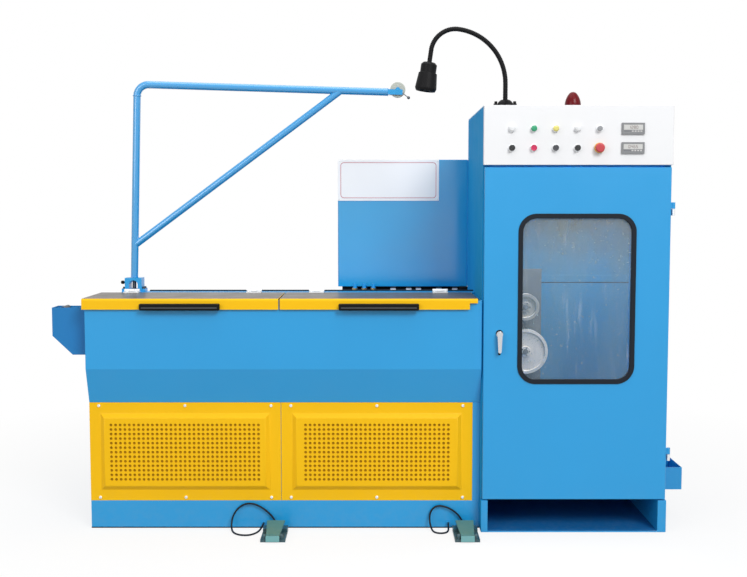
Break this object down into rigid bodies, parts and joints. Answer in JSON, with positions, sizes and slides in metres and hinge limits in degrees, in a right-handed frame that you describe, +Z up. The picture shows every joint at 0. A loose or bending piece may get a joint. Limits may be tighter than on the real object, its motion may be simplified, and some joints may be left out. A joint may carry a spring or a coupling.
{
  "type": "wire drawing machine",
  "caption": "Wire drawing machine with a lidded drawing tank on a vented bed, a glazed take-up cabinet, a swinging wire guide arm, a work lamp and foot switches.",
  "frame": {"origin": "on the floor, in the middle of the length of bed and cabinet and of the machine's depth", "axes": "+X along the machine to the right, +Y to the back, +Z up"},
  "size_m": [2.787, 1.301, 2.1645],
  "materials": {
    "blue_paint": "gloss machine enamel",
    "yellow_paint": "gloss machine enamel",
    "white_paint": "satin enamel",
    "grey_paint": "satin enamel",
    "zinc": "zinc plate",
    "bright_steel": "turned steel",
    "brass": "bare brass",
    "black_plastic": "moulded",
    "black_enamel": "satin enamel",
    "rubber": "moulded",
    "glass": "dusty sheet",
    "red_plastic": "translucent dome",
    "control_plastic": "moulded caps",
    "pedal_green": "hammered enamel",
    "cord_pvc": "round sheath"
  },
  "bodies": {
    "machine": {"bed_base": "blue_paint", "bed_rear_case": "blue_paint", "bed_side_walls": "blue_paint", "tank_front": "blue_paint", "tank_floor": "blue_paint", "bed_front_posts": "blue_paint", "hinge_rail": "blue_paint", "motor_housing": "blue_paint", "wire_inlet_box": "blue_paint", "cabinet_plinth": "blue_paint", "cabinet_floor": "blue_paint", "cabinet_side_walls": "blue_paint", "cabinet_back_wall": "blue_paint", "cabinet_roof": "blue_paint", "head_floor": "blue_paint", "side_tray": "blue_paint", "arm_bracket": "blue_paint", "left_vent_panel": "yellow_paint", "right_vent_panel": "yellow_paint", "control_panel": "white_paint", "sheave_column": "grey_paint", "panel_meters": "black_plastic", "lid_hinge_pins": "zinc", "door_hinge_pins": "zinc", "control_bezels": "zinc", "drawing_cones": "bright_steel", "coolant_valves": "brass", "arm_lock_knob": "black_plastic", "housing_feet": "black_enamel", "lamp_base": "black_enamel", "gooseneck": "black_enamel", "lamp_head": "black_enamel", "beacon": "red_plastic", "emergency_stop": "red_plastic", "control_caps": "control_plastic", "pedal_bases": "pedal_green", "left_pedal_cord": "cord_pvc", "right_pedal_cord": "cord_pvc", "cord_glands": "black_plastic"},
    "left_lid": {"left_lid": "yellow_paint", "left_lid_handle": "black_plastic", "left_lid_leaves": "zinc"},
    "right_lid": {"right_lid": "yellow_paint", "right_lid_handle": "black_plastic", "right_lid_leaves": "zinc"},
    "door": {"cabinet_door": "blue_paint", "window_gasket": "rubber", "window_glass": "glass"},
    "door_handle": {"door_handle": "zinc"},
    "arm": {"arm_post": "blue_paint", "arm_bar": "blue_paint", "arm_brace": "blue_paint", "arm_fork": "blue_paint"},
    "arm_sheave": {"arm_sheave": "bright_steel"},
    "upper_sheave": {"upper_sheave": "bright_steel"},
    "lower_wheel": {"lower_wheel": "bright_steel"},
    "left_treadle": {"left_treadle": "pedal_green"},
    "right_treadle": {"right_treadle": "pedal_green"}
  },
  "joints": [
    {"name": "left_lid_hinge", "type": "hinge", "parent": "machine", "child": "left_lid", "pos_m": [-0.84, -0.228, 1.023], "axis": [-1, 0, 0], "range_deg": [0, 90]},
    {"name": "right_lid_hinge", "type": "hinge", "parent": "machine", "child": "right_lid", "pos_m": [0.008, -0.228, 1.023], "axis": [-1, 0, 0], "range_deg": [0, 90]},
    {"name": "door_hinge", "type": "hinge", "parent": "machine", "child": "door", "pos_m": [1.257, -0.565, 0.868], "axis": [0, 0, 1], "range_deg": [0, 150]},
    {"name": "handle_turn", "type": "hinge", "parent": "door", "child": "door_handle", "pos_m": [0.523, -0.575, 0.862], "axis": [0, -1, 0], "range_deg": [0, 90]},
    {"name": "arm_swivel", "type": "hinge", "parent": "machine", "child": "arm", "pos_m": [-1.12, -0.17, 1.078], "axis": [0.0305, 0, 0.9995], "range_deg": [0, 110]},
    {"name": "arm_sheave_spin", "type": "hinge", "parent": "arm", "child": "arm_sheave", "pos_m": [0.09678, -0.17, 1.93624], "axis": [0, 1, 0], "continuous": true},
    {"name": "upper_sheave_spin", "type": "hinge", "parent": "machine", "child": "upper_sheave", "pos_m": [0.697, -0.13, 0.938], "axis": [0, 1, 0], "continuous": true},
    {"name": "lower_wheel_spin", "type": "hinge", "parent": "machine", "child": "lower_wheel", "pos_m": [0.697, -0.13, 0.729], "axis": [0, 1, 0], "continuous": true},
    {"name": "left_treadle_press", "type": "hinge", "parent": "machine", "child": "left_treadle", "pos_m": [-0.437, -0.702, 0.024], "axis": [-1, 0, 0], "range_deg": [0, 3], "stiffness_Nm_per_rad": 6, "springref_deg": -11.46},
    {"name": "right_treadle_press", "type": "hinge", "parent": "machine", "child": "right_treadle", "pos_m": [0.381, -0.702, 0.024], "axis": [-1, 0, 0], "range_deg": [0, 3], "stiffness_Nm_per_rad": 6, "springref_deg": -11.46}
  ]
}
